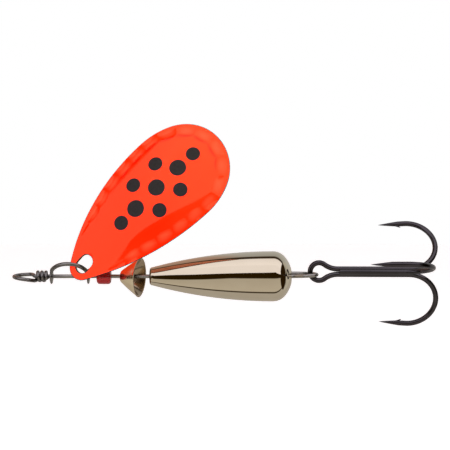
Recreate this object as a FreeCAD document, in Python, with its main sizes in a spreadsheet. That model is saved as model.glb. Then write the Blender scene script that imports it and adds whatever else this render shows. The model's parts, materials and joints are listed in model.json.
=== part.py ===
import FreeCAD, Part
import math
import os

import Sketcher

os.makedirs("parts", exist_ok=True)

# Inline spinner lure. Millimetres, +Z up. The shaft runs along +X from the line tie to the hook,
# and the origin is the centre of the line-tie eye. -Y is the side the blade hangs on.

DIMENSIONS = [
    # straight shaft and its two bent ends
    ("wire_dia", "0.65"),
    ("shaft_from", "2.05"),
    ("shaft_to", "45.6"),
    ("eye_radius", "1.8"),
    ("wrap_radius", "0.69"),
    ("wrap_pitch", "0.69"),
    ("wrap_turns", "2.85"),
    ("wrap_from", "1.85"),
    ("loop_end", "49.54"),
    ("loop_half_width", "1.34"),
    ("loop_rise", "0.3"),
    ("tag_offset", "0.52"),
    ("tag_rise", "0.47"),
    ("tag_to", "41.8"),
    # clevis
    ("clevis_mid", "7.65"),
    ("clevis_half", "3.13"),
    ("clevis_reach", "3.64"),
    ("clevis_wire_dia", "0.7"),
    ("clevis_pad_radius", "1.3"),
    ("clevis_pad_thick", "0.45"),
    ("clevis_hole_radius", "0.4"),
    ("clevis_leg_foot", "0.85"),
    ("clevis_lean", "52.8"),
    ("clevis_arc_lift", "=clevis_reach - clevis_half"),
    # blade outline, x from the narrow end
    ("blade_length", "33.94"),
    ("blade_half_width", "8.6"),
    ("blade_widest", "23.88"),
    ("blade_side_radius", "42.24"),
    ("blade_nose_radius", "8.17"),
    ("blade_thick", "0.45"),
    ("blade_long_radius", "70"),
    ("blade_cross_radius", "21.3"),
    ("blade_crown", "18"),
    ("slot_centre", "2.9"),
    ("slot_half_length", "1.67"),
    ("slot_half_width", "1.17"),
    # blade attitude as it rests beside the shaft
    ("blade_yaw", "44.3"),
    ("blade_pitch", "2.5"),
    ("blade_roll", "-16"),
    ("blade_hang_x", "10.41"),
    ("blade_hang_y", "-2.3"),
    ("blade_hang_z", "2.15"),
    # bead
    ("bead_from", "12.24"),
    ("bead_length", "2.4"),
    ("bead_radius", "1.335"),
    ("bead_corner", "0.5"),
    ("bead_bore_radius", "0.41"),
    ("bead_shoulder", "=bead_length - bead_corner"),
    ("bead_flat", "=bead_radius - bead_corner"),
    # bell cup
    ("bell_from", "16.37"),
    ("bell_length", "3.3"),
    ("bell_rim_radius", "3.38"),
    ("bell_nose_radius", "1.08"),
    ("bell_nose_flat", "0.8"),
    ("bell_nose_depth", "0.28"),
    ("bell_wall", "0.28"),
    ("bell_hole_radius", "0.6"),
    ("bell_turn", "14"),
    ("bell_lean", "3"),
    ("bell_sag", "0.18"),
    ("bell_round", "0.32"),
    ("bell_inner_rim", "=bell_rim_radius - bell_wall"),
    ("bell_inner_from", "=bell_nose_depth + bell_wall * 0.6"),
    ("bell_inner_nose", "=bell_nose_radius - bell_wall * 0.6"),
    # body weight
    ("weight_from", "21.2"),
    ("weight_length", "24.2"),
    ("weight_radius", "4.26"),
    ("weight_widest", "20.95"),
    ("weight_front_radius", "1.56"),
    ("weight_front_corner", "0.5"),
    ("weight_shoulder_radius", "2.7"),
    ("weight_bore_radius", "0.41"),
    ("weight_tail_bore_radius", "1.1"),
    ("weight_tail_bore_depth", "4.6"),
    ("weight_run", "=weight_widest - weight_front_corner"),
    ("weight_swell", "=weight_radius - weight_front_radius"),
    ("weight_side_radius", "=(weight_run^2 + weight_swell^2) / (2 * weight_swell)"),
    ("weight_front_flat", "=weight_front_radius - weight_front_corner"),
    ("weight_tail", "=weight_length - weight_widest"),
    ("weight_core", "=weight_radius - weight_shoulder_radius"),
    (
        "weight_end_radius",
        "=(weight_tail^2 + weight_core^2 - weight_shoulder_radius^2)"
        " / (2 * (weight_tail - weight_shoulder_radius))",
    ),
    ("weight_end_centre", "=weight_length - weight_end_radius"),
    ("weight_ratio", "=weight_end_radius / (weight_end_radius - weight_shoulder_radius)"),
    (
        "weight_blend_x",
        "=weight_end_centre + weight_ratio * (weight_widest - weight_end_centre)",
    ),
    ("weight_blend_r", "=weight_ratio * weight_core"),
    ("weight_tail_bore_from", "=weight_length - weight_tail_bore_depth"),
    (
        "weight_mouth_x",
        "=weight_end_centre + sqrt(weight_end_radius^2 - weight_tail_bore_radius^2)",
    ),
    # treble hook, x from the pivot in the rear loop
    ("hook_wire_dia", "0.9"),
    ("hook_eye_from", "-1.05"),
    ("hook_eye_radius", "1.5"),
    ("hook_shank_from", "3.6"),
    ("hook_pair_half", "0.46"),
    ("hook_third_offset", "0.805"),
    ("hook_third_from", "3.85"),
    ("hook_bend_from", "15.6"),
    ("hook_third_bend_from", "14.2"),
    ("hook_gape", "9.4"),
    ("hook_close_in", "4"),
    ("hook_arm", "1.1"),
    ("hook_third_arm", "2.0"),
    ("hook_point_length", "3.4"),
    ("hook_point_end_radius", "0.05"),
    ("hook_upper_turn", "35"),
    ("hook_lower_turn", "156"),
    ("hook_third_turn", "280"),
    ("hook_axis_rise", "0.8"),
    ("hook_swing_in", "3.8"),
    ("barb_length", "1.05"),
    ("barb_radius", "0.2"),
    ("barb_angle", "35"),
    ("barb_from", "0.45"),
    ("braze_from", "4.3"),
    ("braze_length", "10.4"),
    ("braze_radius", "0.5"),
]

doc = FreeCAD.newDocument("inline_spinner")


def make_sheet():
    sheet = doc.addObject("Spreadsheet::Sheet", "Dims")
    for row, (alias, value) in enumerate(DIMENSIONS, start=1):
        sheet.set(f"A{row}", alias)
        sheet.set(f"B{row}", value)
        sheet.setAlias(f"B{row}", alias)
    doc.recompute()
    return sheet


dims = make_sheet()


def value(alias):
    """The number a sheet alias holds, or 0 for 'zero'."""
    return 0.0 if alias == "zero" else float(getattr(dims, alias))


def bind(item, prop, expression):
    """Drive a property from the sheet."""
    item.setExpression(prop, expression)


def vec(x, y, z):
    return FreeCAD.Vector(x, y, z)


X_AXIS, Y_AXIS, Z_AXIS = vec(1, 0, 0), vec(0, 1, 0), vec(0, 0, 1)


# --- sketches ---------------------------------------------------------------


def new_body(name):
    return doc.addObject("PartDesign::Body", name)


def new_sketch(body, name, plane_role):
    """A sketch on one of the body's own origin planes."""
    sketch = body.newObject("Sketcher::SketchObject", name)
    planes = [f for f in body.Origin.OriginFeatures if f.Role == plane_role]
    sketch.AttachmentSupport = (planes[0], [""])
    sketch.MapMode = "FlatFace"
    return sketch


def pin_point(sketch, geometry, point, alias_x, alias_y):
    """Fix one end of a curve at sheet-driven coordinates."""
    for kind, alias, axis in (("DistanceX", alias_x, -2), ("DistanceY", alias_y, -1)):
        if alias == "zero":
            rule = Sketcher.Constraint("PointOnObject", geometry, point, axis)
            sketch.addConstraint(rule)
            continue
        rule = Sketcher.Constraint(kind, -1, 1, geometry, point, value(alias))
        index = sketch.addConstraint(rule)
        bind(sketch, f"Constraints[{index}]", f"Dims.{alias}")


def size_radius(sketch, geometry, alias):
    rule = Sketcher.Constraint("Radius", geometry, value(alias))
    index = sketch.addConstraint(rule)
    bind(sketch, f"Constraints[{index}]", f"Dims.{alias}")


def arc_between(start, end, radius, bulge):
    """An arc of this radius from start to end. bulge +1 puts its centre on the left of the chord."""
    chord = end - start
    half = chord.Length / 2
    side = vec(-chord.y, chord.x, 0).normalize() * bulge
    centre = (start + end) / 2 + side * math.sqrt(max(radius**2 - half**2, 0))
    middle = centre + ((start + end) / 2 - centre).normalize() * radius
    if radius - half < 1e-9:
        middle = centre - side * radius
    return Part.Arc(start, middle, end)


def closed_profile(sketch, corners):
    """A closed outline. Each corner is (x alias, y alias, radius alias or None, bulge) and the last
    two describe the edge that leaves it."""
    points = [vec(value(c[0]), value(c[1]), 0) for c in corners]
    for index, corner in enumerate(corners):
        start = points[index]
        end = points[(index + 1) % len(points)]
        if corner[2] is None:
            sketch.addGeometry(Part.LineSegment(start, end), False)
            continue
        sketch.addGeometry(arc_between(start, end, value(corner[2]), corner[3]), False)
    for index, corner in enumerate(corners):
        first = end_index(sketch, index, points[index])
        before = (index - 1) % len(corners)
        last = end_index(sketch, before, points[index])
        sketch.addConstraint(Sketcher.Constraint("Coincident", before, last, index, first))
        pin_point(sketch, index, first, corner[0], corner[1])
        if corner[2] is not None:
            size_radius(sketch, index, corner[2])


def end_index(sketch, geometry, point):
    """1 or 2, whichever end of the curve lies at the point."""
    near_start = (sketch.getPoint(geometry, 1) - point).Length
    near_end = (sketch.getPoint(geometry, 2) - point).Length
    return 1 if near_start <= near_end else 2


def revolve(body, sketch, name):
    """A full turn of the sketch around its horizontal axis, which is the body's X axis."""
    turn = body.newObject("PartDesign::Revolution", name)
    turn.Profile = sketch
    turn.ReferenceAxis = (sketch, ["H_Axis"])
    turn.Angle = 360
    sketch.Visibility = False
    return turn


# --- swept wires --------------------------------------------------------------


def new_path(name, edges):
    """The centre line of a bent wire, computed from the sheet."""
    path = doc.addObject("Part::Feature", name)
    path.Shape = Part.Wire(edges)
    return path


def sweep_wire(name, edges, diameter_alias):
    """A round wire along the edges. The section sits square on the start of the first edge."""
    path = new_path(name + "_path", edges)
    first = path.Shape.Edges[0]
    start = path.Shape.OrderedVertexes[0].Point
    at_start = (first.valueAt(first.FirstParameter) - start).Length < 1e-6
    parameter = first.FirstParameter if at_start else first.LastParameter
    section = doc.addObject("Part::Circle", name + "_section")
    bind(section, "Radius", f"Dims.{diameter_alias} / 2")
    turn = FreeCAD.Rotation(Z_AXIS, first.tangentAt(parameter))
    section.Placement = FreeCAD.Placement(start, turn)
    sweep = doc.addObject("Part::Sweep", name)
    sweep.Sections = [section]
    sweep.Spine = (path, [f"Edge{i + 1}" for i in range(len(path.Shape.Edges))])
    sweep.Solid = True
    sweep.Frenet = False
    return sweep


def smooth(points, start_tangent, end_tangent, chunk=6):
    """Edges of one smooth curve through the points with the given end directions, cut every few
    points so that each swept face stays short."""
    lengths = [0.0]
    for before, after in zip(points, points[1:]):
        lengths.append(lengths[-1] + (after - before).Length)
    curve = Part.BSplineCurve()
    curve.interpolate(
        Points=points,
        Parameters=lengths,
        InitialTangent=start_tangent.normalize(),
        FinalTangent=end_tangent.normalize(),
        Scale=False,
    )
    cuts = lengths[:-1:chunk] + [lengths[-1]]
    edges = []
    for low, high in zip(cuts, cuts[1:]):
        piece = curve.copy()
        piece.segment(low, high)
        edges.append(piece.toShape())
    return edges


def fuse(name, members):
    joined = doc.addObject("Part::MultiFuse", name)
    joined.Shapes = members
    joined.Refine = True
    return joined


# --- shaft wire -----------------------------------------------------------------


def front_path():
    """From the end of the close wraps, round the line-tie eye, to the straight shaft."""
    eye = value("eye_radius")
    neck = [
        vec(value("shaft_from"), 0, 0),
        vec(1.74, 0.07, 0.03),
        vec(1.5, 0.32, 0.08),
        vec(1.37, 0.75, 0.14),
        vec(1.16, 1.22, 0.2),
    ]
    ring = []
    for degrees in range(68, 320, 28):
        angle = math.radians(degrees)
        lowered = 0.25 - 0.9 * ((degrees - 68) / 252) ** 1.5
        ring.append(vec(eye * math.cos(angle), eye * math.sin(angle), lowered))
    hand_over = [vec(1.66, -0.72, -0.69)]
    radius = value("wrap_radius")
    pitch = value("wrap_pitch")
    wraps = []
    steps = 14
    for step in range(round(value("wrap_turns") * steps) + 1):
        angle = 2 * math.pi * step / steps
        along = value("wrap_from") + pitch * step / steps
        wraps.append(vec(along, radius * math.sin(angle), -radius * math.cos(angle)))
    last = 2 * math.pi * round(value("wrap_turns") * steps) / steps
    end_tangent = vec(
        pitch / (2 * math.pi), radius * math.cos(last), radius * math.sin(last)
    )
    points = neck + ring + hand_over + wraps
    points.reverse()
    return smooth(points, end_tangent * -1, vec(1, 0, 0))


def rear_path():
    """From the straight shaft round the hook loop and back as the tag inside the body."""
    end = value("loop_end")
    wide = value("loop_half_width")
    rise = value("loop_rise")
    pin = 0.45
    near = [
        vec(value("shaft_to"), 0, 0),
        vec(end - 3.1, -0.34, 0.03),
        vec(end - 2.1, -0.98, 0.09),
        vec(end - 1.1, -wide, 0.16),
        vec(end - 0.3, -1.06, 0.23),
        vec(end, -pin, rise),
    ]
    far = [
        vec(end, pin, rise),
        vec(end - 0.3, 1.06, 0.31),
        vec(end - 1.1, wide, 0.37),
        vec(end - 2.1, 1.03, 0.42),
        vec(end - 3.2, 0.66, 0.46),
        vec(45.2, value("tag_offset"), value("tag_rise")),
    ]
    tag_end = vec(value("tag_to"), value("tag_offset"), value("tag_rise"))
    return [
        *smooth(near, vec(1, 0, 0), vec(0, 1, 0)),
        Part.LineSegment(near[-1], far[0]).toShape(),
        *smooth(far, vec(0, 1, 0), vec(-1, 0, 0)),
        Part.LineSegment(far[-1], tag_end).toShape(),
    ]


def make_shaft_wire():
    """One length of wire: wraps, eye, straight shaft, rear loop and tag."""
    front = front_path()
    rear = rear_path()
    straight = Part.LineSegment(vec(value("shaft_from"), 0, 0), vec(value("shaft_to"), 0, 0))
    edges = [*front, straight.toShape(), *rear]
    return sweep_wire("shaft_wire", edges, "wire_dia")


# --- clevis -----------------------------------------------------------------------


def clevis_spine(body):
    """The arch of the wire from foot to foot, in the body's XZ plane."""
    half = value("clevis_half")
    foot = value("clevis_leg_foot")
    lift = value("clevis_arc_lift")
    sketch = new_sketch(body, "clevis_spine", "XZ_Plane")
    angle = math.asin((foot - lift) / half)
    circle = Part.Circle(vec(0, lift, 0), Z_AXIS, half)
    sketch.addGeometry(Part.ArcOfCircle(circle, angle, math.pi - angle), False)
    sketch.addConstraint(Sketcher.Constraint("PointOnObject", 0, 3, -2))
    lifted = sketch.addConstraint(Sketcher.Constraint("DistanceY", -1, 1, 0, 3, lift))
    bind(sketch, f"Constraints[{lifted}]", "Dims.clevis_arc_lift")
    size_radius(sketch, 0, "clevis_half")
    for point in (1, 2):
        low = sketch.addConstraint(
            Sketcher.Constraint("DistanceY", -1, 1, 0, point, foot)
        )
        bind(sketch, f"Constraints[{low}]", "Dims.clevis_leg_foot")
    return sketch


def clevis_section(body, spine):
    """The round wire section, square on the right-hand foot of the arch."""
    section = body.newObject("Sketcher::SketchObject", "clevis_section")
    section.AttachmentSupport = (spine, ["Edge1"])
    section.MapMode = "NormalToEdge"
    section.MapPathParameter = 0.0
    section.addGeometry(
        Part.Circle(vec(0, 0, 0), Z_AXIS, value("clevis_wire_dia") / 2), False
    )
    section.addConstraint(Sketcher.Constraint("Coincident", 0, 3, -1, 1))
    sized = section.addConstraint(
        Sketcher.Constraint("Diameter", 0, value("clevis_wire_dia"))
    )
    bind(section, f"Constraints[{sized}]", "Dims.clevis_wire_dia")
    return section


def clevis_pad(body, name, side):
    """One flattened, pierced end of the wire."""
    sketch = new_sketch(body, name + "_outline", "YZ_Plane")
    centre = vec(0, 0, 0)
    for alias in ("clevis_pad_radius", "clevis_hole_radius"):
        index = sketch.addGeometry(Part.Circle(centre, Z_AXIS, value(alias)), False)
        sketch.addConstraint(Sketcher.Constraint("Coincident", index, 3, -1, 1))
        size_radius(sketch, index, alias)
    bind(
        sketch,
        "AttachmentOffset.Base.z",
        f"{side} * Dims.clevis_half - Dims.clevis_pad_thick / 2",
    )
    pad = body.newObject("PartDesign::Pad", name)
    pad.Profile = sketch
    bind(pad, "Length", "Dims.clevis_pad_thick")
    sketch.Visibility = False
    return pad


def make_clevis():
    body = new_body("clevis")
    spine = clevis_spine(body)
    doc.recompute()
    section = clevis_section(body, spine)
    arch = body.newObject("PartDesign::AdditivePipe", "clevis_arch")
    arch.Profile = section
    arch.Spine = (spine, ["Edge1"])
    doc.recompute()
    clevis_pad(body, "clevis_front_pad", -1)
    clevis_pad(body, "clevis_rear_pad", 1)
    lean = FreeCAD.Rotation(X_AXIS, value("clevis_lean"))
    body.Placement = FreeCAD.Placement(vec(value("clevis_mid"), 0, 0), lean)
    bind(body, "Placement.Base.x", "Dims.clevis_mid")
    bind(body, "Placement.Rotation.Angle", "Dims.clevis_lean")
    return body


# --- blade --------------------------------------------------------------------------


def blade_half_outline(body):
    """Half of the blade's outline: nose arc, shoulder arc, long side arc and the narrow end cap,
    each tangent to the next."""
    length = value("blade_length")
    half = value("blade_half_width")
    widest = value("blade_widest")
    side = value("blade_side_radius")
    nose = value("blade_nose_radius")
    drop = side - half
    cap = (side**2 - drop**2 - widest**2) / (2 * (side - widest))
    run = length - nose - widest
    shoulder = (run**2 + half**2 - nose**2) / (2 * (half - nose))
    nose_centre = vec(length - nose, 0, 0)
    shoulder_centre = vec(widest, half - shoulder, 0)
    nose_join = nose_centre + (nose_centre - shoulder_centre).normalize() * nose
    cap_centre = vec(cap, 0, 0)
    side_centre = vec(widest, half - side, 0)
    cap_join = cap_centre + (cap_centre - side_centre).normalize() * cap
    top = vec(widest, half, 0)
    sketch = new_sketch(body, "blade_half_outline", "XY_Plane")
    sketch.addGeometry(Part.LineSegment(vec(0, 0, 0), vec(length, 0, 0)), False)
    for start, end, radius in (
        (vec(length, 0, 0), nose_join, nose),
        (nose_join, top, shoulder),
        (top, cap_join, side),
        (cap_join, vec(0, 0, 0), cap),
    ):
        sketch.addGeometry(arc_between(start, end, radius, 1), False)
    sketch.addConstraint(Sketcher.Constraint("Coincident", 0, 1, -1, 1))
    sketch.addConstraint(Sketcher.Constraint("Horizontal", 0))
    long = sketch.addConstraint(Sketcher.Constraint("DistanceX", 0, 1, 0, 2, length))
    bind(sketch, f"Constraints[{long}]", "Dims.blade_length")
    sketch.addConstraint(Sketcher.Constraint("Coincident", 1, 1, 0, 2))
    for before, after in ((1, 2), (2, 3), (3, 4)):
        sketch.addConstraint(Sketcher.Constraint("Tangent", before, 2, after, 1))
    sketch.addConstraint(Sketcher.Constraint("Coincident", 4, 2, 0, 1))
    sketch.addConstraint(Sketcher.Constraint("PointOnObject", 1, 3, -1))
    sketch.addConstraint(Sketcher.Constraint("PointOnObject", 4, 3, -1))
    size_radius(sketch, 1, "blade_nose_radius")
    size_radius(sketch, 3, "blade_side_radius")
    pin_point(sketch, 3, 1, "blade_widest", "blade_half_width")
    sketch.addConstraint(Sketcher.Constraint("Vertical", 3, 1, 3, 3))
    return sketch


def slot_outline(body):
    """The long hole the clevis passes through, along the blade."""
    half_width = value("slot_half_width")
    reach = value("slot_half_length") - half_width
    centre = value("slot_centre")
    sketch = new_sketch(body, "blade_slot_outline", "XY_Plane")
    right = vec(centre + reach, 0, 0)
    left = vec(centre - reach, 0, 0)
    up = vec(0, half_width, 0)
    sketch.addGeometry(Part.LineSegment(left - up, right - up), False)
    right_round = Part.Circle(right, Z_AXIS, half_width)
    sketch.addGeometry(Part.ArcOfCircle(right_round, -math.pi / 2, math.pi / 2), False)
    sketch.addGeometry(Part.LineSegment(right + up, left + up), False)
    left_round = Part.Circle(left, Z_AXIS, half_width)
    sketch.addGeometry(Part.ArcOfCircle(left_round, math.pi / 2, 3 * math.pi / 2), False)
    joins = ((0, 2, 1, 1), (1, 2, 2, 1), (2, 2, 3, 1), (3, 2, 0, 1))
    for first, first_end, second, second_end in joins:
        rule = Sketcher.Constraint("Tangent", first, first_end, second, second_end)
        sketch.addConstraint(rule)
    size_radius(sketch, 1, "slot_half_width")
    for geometry, sign in ((1, "+"), (3, "-")):
        sketch.addConstraint(Sketcher.Constraint("PointOnObject", geometry, 3, -1))
        at = sketch.getPoint(geometry, 3).x
        rule = Sketcher.Constraint("DistanceX", -1, 1, geometry, 3, at)
        index = sketch.addConstraint(rule)
        bind(
            sketch,
            f"Constraints[{index}]",
            f"Dims.slot_centre {sign} (Dims.slot_half_length - Dims.slot_half_width)",
        )
    return sketch


def blade_blank():
    """The flat blank, thick enough to hold the whole dome, with the slot through it."""
    body = new_body("blade_blank")
    outline = blade_half_outline(body)
    pad = body.newObject("PartDesign::Pad", "blade_half")
    pad.Profile = outline
    pad.Length = 12
    bind(outline, "AttachmentOffset.Base.z", "-8")
    doc.recompute()
    mirror = body.newObject("PartDesign::Mirrored", "blade_both_halves")
    mirror.Originals = [pad]
    planes = [f for f in body.Origin.OriginFeatures if f.Role == "XZ_Plane"]
    mirror.MirrorPlane = (planes[0], [""])
    body.Tip = mirror
    doc.recompute()
    slot = slot_outline(body)
    pocket = body.newObject("PartDesign::Pocket", "blade_slot")
    pocket.Profile = slot
    pocket.Type = "ThroughAll"
    pocket.Midplane = True
    body.Tip = pocket
    return body


def dome_ring(name, inset):
    """A ring whose outside is the dome's curvature, lower by the inset."""
    ring = doc.addObject("Part::Torus", name)
    bind(ring, "Radius1", "Dims.blade_long_radius - Dims.blade_cross_radius")
    bind(ring, "Radius2", f"Dims.blade_cross_radius - {inset}")
    ring.Placement = FreeCAD.Placement(
        vec(value("blade_crown"), 0, -value("blade_long_radius")),
        FreeCAD.Rotation(X_AXIS, 90),
    )
    bind(ring, "Placement.Base.x", "Dims.blade_crown")
    bind(ring, "Placement.Base.z", "-Dims.blade_long_radius")
    return ring


def dome_height(along):
    """How far the blade's outer face lies below its crown, on the centre line."""
    radius = value("blade_long_radius")
    return math.sqrt(radius**2 - (along - value("blade_crown")) ** 2) - radius


def blade_placement():
    """Hang the blade by its slot: narrow end at the clevis, convex face to -Y."""
    yaw = math.radians(value("blade_yaw"))
    long = vec(math.cos(yaw), 0, math.sin(yaw))
    face = vec(0, -1, 0)
    across = face.cross(long)
    flat = FreeCAD.Rotation(long, across, face, "ZXY")
    pitch = FreeCAD.Rotation(across, value("blade_pitch"))
    roll = FreeCAD.Rotation(long, value("blade_roll"))
    turn = pitch.multiply(roll).multiply(flat)
    centre = value("slot_centre")
    middle = vec(centre, 0, dome_height(centre) - value("blade_thick") / 2)
    hang = vec(value("blade_hang_x"), value("blade_hang_y"), value("blade_hang_z"))
    return FreeCAD.Placement(hang - turn.multVec(middle), turn)


def make_blade():
    blank = blade_blank()
    outer = dome_ring("blade_dome_outer", "0")
    inner = dome_ring("blade_dome_inner", "Dims.blade_thick")
    shell = doc.addObject("Part::Cut", "blade_dome")
    shell.Base = outer
    shell.Tool = inner
    blade = doc.addObject("Part::MultiCommon", "blade")
    blade.Shapes = [blank, shell]
    blade.Placement = blade_placement()
    return blade


# --- turned and spun parts ------------------------------------------------------------


def make_bead():
    body = new_body("bead")
    sketch = new_sketch(body, "bead_profile", "XZ_Plane")
    closed_profile(
        sketch,
        [
            ("zero", "bead_bore_radius", None, 0),
            ("bead_length", "bead_bore_radius", None, 0),
            ("bead_length", "bead_flat", "bead_corner", 1),
            ("bead_shoulder", "bead_radius", None, 0),
            ("bead_corner", "bead_radius", "bead_corner", 1),
            ("zero", "bead_flat", None, 0),
        ],
    )
    revolve(body, sketch, "bead_turned")
    bind(body, "Placement.Base.x", "Dims.bead_from")
    return body


def make_bell_cup():
    body = new_body("bell_cup")
    sketch = new_sketch(body, "bell_profile", "XZ_Plane")
    closed_profile(
        sketch,
        [
            ("zero", "bell_hole_radius", None, 0),
            ("bell_wall", "bell_hole_radius", None, 0),
            ("bell_inner_from", "bell_inner_nose", None, 0),
            ("bell_length", "bell_inner_rim", None, 0),
            ("bell_length", "bell_rim_radius", None, 0),
            ("bell_nose_depth", "bell_nose_radius", "bell_round", 1),
            ("zero", "bell_nose_flat", None, 0),
        ],
    )
    revolve(body, sketch, "bell_spun")
    turn = FreeCAD.Rotation(Z_AXIS, -value("bell_turn"))
    lean = FreeCAD.Rotation(Y_AXIS, value("bell_lean"))
    nose = vec(value("bell_from"), value("bell_sag"), 0)
    body.Placement = FreeCAD.Placement(nose, turn.multiply(lean))
    return body


def make_body_weight():
    body = new_body("body_weight")
    sketch = new_sketch(body, "weight_profile", "XZ_Plane")
    closed_profile(
        sketch,
        [
            ("zero", "weight_bore_radius", None, 0),
            ("weight_tail_bore_from", "weight_bore_radius", None, 0),
            ("weight_tail_bore_from", "weight_tail_bore_radius", None, 0),
            ("weight_mouth_x", "weight_tail_bore_radius", "weight_end_radius", 1),
            ("weight_blend_x", "weight_blend_r", "weight_shoulder_radius", 1),
            ("weight_widest", "weight_radius", "weight_side_radius", 1),
            ("weight_front_corner", "weight_front_radius", "weight_front_corner", 1),
            ("zero", "weight_front_flat", None, 0),
        ],
    )
    revolve(body, sketch, "weight_turned")
    bind(body, "Placement.Base.x", "Dims.weight_from")
    return body


# --- treble hook ------------------------------------------------------------------------


def hook_placement():
    """The pivot in the rear loop, with the shank leaning a little to -Y."""
    pivot = vec(value("loop_end"), 0, value("hook_axis_rise"))
    return FreeCAD.Placement(pivot, FreeCAD.Rotation(Z_AXIS, -value("hook_swing_in")))


def outward(turn_alias):
    """The direction a hook's bend opens, as an angle from +Z towards +Y."""
    angle = math.radians(value(turn_alias))
    return vec(0, math.sin(angle), math.cos(angle))


class Bend:
    """Bend and straight arm of one hook, from the end of its shank at (y, z). The bend goes a little
    past a half turn, so that the point leans in towards the shank."""

    def __init__(self, shank, turn_alias, bend_alias, arm_alias):
        radius = value("hook_gape") / 2
        lean = math.radians(value("hook_close_in"))
        direction = outward(turn_alias)
        self.foot = vec(value(bend_alias), shank.y, shank.z)
        centre = self.foot + direction * radius
        half_way = (math.pi + lean) / 2
        middle = X_AXIS * math.sin(half_way) - direction * math.cos(half_way)
        top = centre + (direction * math.cos(lean) - X_AXIS * math.sin(lean)) * radius
        self.aim = X_AXIS * -math.cos(lean) - direction * math.sin(lean)
        self.inner = X_AXIS * math.sin(lean) - direction * math.cos(lean)
        self.end = top + self.aim * value(arm_alias)
        self.curve = Part.Arc(self.foot, centre + middle * radius, top).toShape()
        self.arm = Part.LineSegment(top, self.end).toShape()


def hook_point(name, bend):
    """The long tapered point at the end of an arm."""
    point = doc.addObject("Part::Cone", name)
    bind(point, "Radius1", "Dims.hook_wire_dia / 2")
    bind(point, "Radius2", "Dims.hook_point_end_radius")
    bind(point, "Height", "Dims.hook_point_length")
    point.Placement = FreeCAD.Placement(bend.end, FreeCAD.Rotation(Z_AXIS, bend.aim))
    return point


def hook_barb(name, bend):
    """The small barb cut from the inner side of the taper and raised towards the bend."""
    barb = doc.addObject("Part::Cone", name)
    bind(barb, "Radius1", "Dims.barb_radius")
    barb.Radius2 = 0.03
    bind(barb, "Height", "Dims.barb_length")
    angle = math.radians(value("barb_angle"))
    aim = bend.inner * math.sin(angle) - bend.aim * math.cos(angle)
    inside = bend.inner * (value("hook_wire_dia") * 0.22)
    start = bend.end + bend.aim * value("barb_from") + inside
    barb.Placement = FreeCAD.Placement(start, FreeCAD.Rotation(Z_AXIS, aim))
    return barb


def eye_edges():
    """The pear-shaped eye, from the upper shank round to the lower one."""
    radius = value("hook_eye_radius")
    centre_x = value("hook_eye_from") + radius
    start_x = value("hook_shank_from")
    rise = value("hook_pair_half")
    run = start_x - centre_x
    blend = (run**2 + rise**2 - radius**2) / (2 * (radius - rise))
    centre = vec(centre_x, 0, 0)
    edges = []
    for side in (1, -1):
        blend_centre = vec(start_x, 0, side * (rise + blend))
        join = centre + (blend_centre - centre).normalize() * radius
        shank_end = vec(start_x, 0, side * rise)
        half_way = blend_centre + (
            (join + shank_end) / 2 - blend_centre
        ).normalize() * blend
        edges.append((shank_end, half_way, join))
    ring = Part.Arc(edges[0][2], vec(value("hook_eye_from"), 0, 0), edges[1][2])
    upper = Part.Arc(*edges[0])
    lower = Part.Arc(*reversed(edges[1]))
    return [upper.toShape(), ring.toShape(), lower.toShape()], edges[0][0], edges[1][0]


def make_hook_double():
    rise = value("hook_pair_half")
    eye, upper_end, lower_end = eye_edges()
    up = Bend(vec(0, 0, rise), "hook_upper_turn", "hook_bend_from", "hook_arm")
    down = Bend(vec(0, 0, -rise), "hook_lower_turn", "hook_bend_from", "hook_arm")
    edges = [
        up.arm,
        up.curve,
        Part.LineSegment(up.foot, upper_end).toShape(),
        *eye,
        Part.LineSegment(lower_end, down.foot).toShape(),
        down.curve,
        down.arm,
    ]
    bent = sweep_wire("hook_double_wire", Part.__sortEdges__(edges), "hook_wire_dia")
    members = [
        bent,
        hook_point("upper_point", up),
        hook_point("lower_point", down),
        hook_barb("upper_barb", up),
        hook_barb("lower_barb", down),
    ]
    hook = fuse("hook_double", members)
    hook.Placement = hook_placement()
    return hook


def make_hook_single():
    aside = vec(0, -value("hook_third_offset"), 0)
    out = Bend(aside, "hook_third_turn", "hook_third_bend_from", "hook_third_arm")
    start = vec(value("hook_third_from"), aside.y, 0)
    edges = [Part.LineSegment(start, out.foot).toShape(), out.curve, out.arm]
    bent = sweep_wire("hook_single_wire", edges, "hook_wire_dia")
    members = [bent, hook_point("third_point", out), hook_barb("third_barb", out)]
    hook = fuse("hook_single", members)
    hook.Placement = hook_placement()
    return hook


def make_hook_braze():
    """Brazing that fills the grooves between the three shanks."""
    braze = doc.addObject("Part::Cylinder", "hook_braze")
    bind(braze, "Radius", "Dims.braze_radius")
    bind(braze, "Height", "Dims.braze_length")
    local = FreeCAD.Placement(
        vec(value("braze_from"), -value("hook_third_offset") / 3, 0),
        FreeCAD.Rotation(Y_AXIS, 90),
    )
    braze.Placement = hook_placement().multiply(local)
    return braze


# --- build, check and export ----------------------------------------------------------------


def build():
    return [
        make_shaft_wire(),
        make_clevis(),
        make_blade(),
        make_bead(),
        make_bell_cup(),
        make_body_weight(),
        make_hook_double(),
        make_hook_single(),
        make_hook_braze(),
    ]


def check(nodes):
    for item in doc.Objects:
        if {"Invalid", "Error"} & set(item.State):
            raise RuntimeError(f"{item.Name}: {item.State}")
    for node in nodes:
        if node.Shape.isNull() or not node.Shape.isValid():
            raise RuntimeError(f"{node.Name}: no valid shape")
        if len(node.Shape.Solids) != 1:
            raise RuntimeError(f"{node.Name}: {len(node.Shape.Solids)} solids")


nodes = build()
doc.recompute()
check(nodes)
for node in nodes:
    node.Label = node.Name
    node.Shape.exportStep(f"parts/{node.Name}.step")
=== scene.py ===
"""Visual model of the inline spinner: every CAD node is restated as a fine mesh with its finish."""

import json
import math

import bpy
import numpy as np
from mathutils import Matrix, Vector


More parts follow.
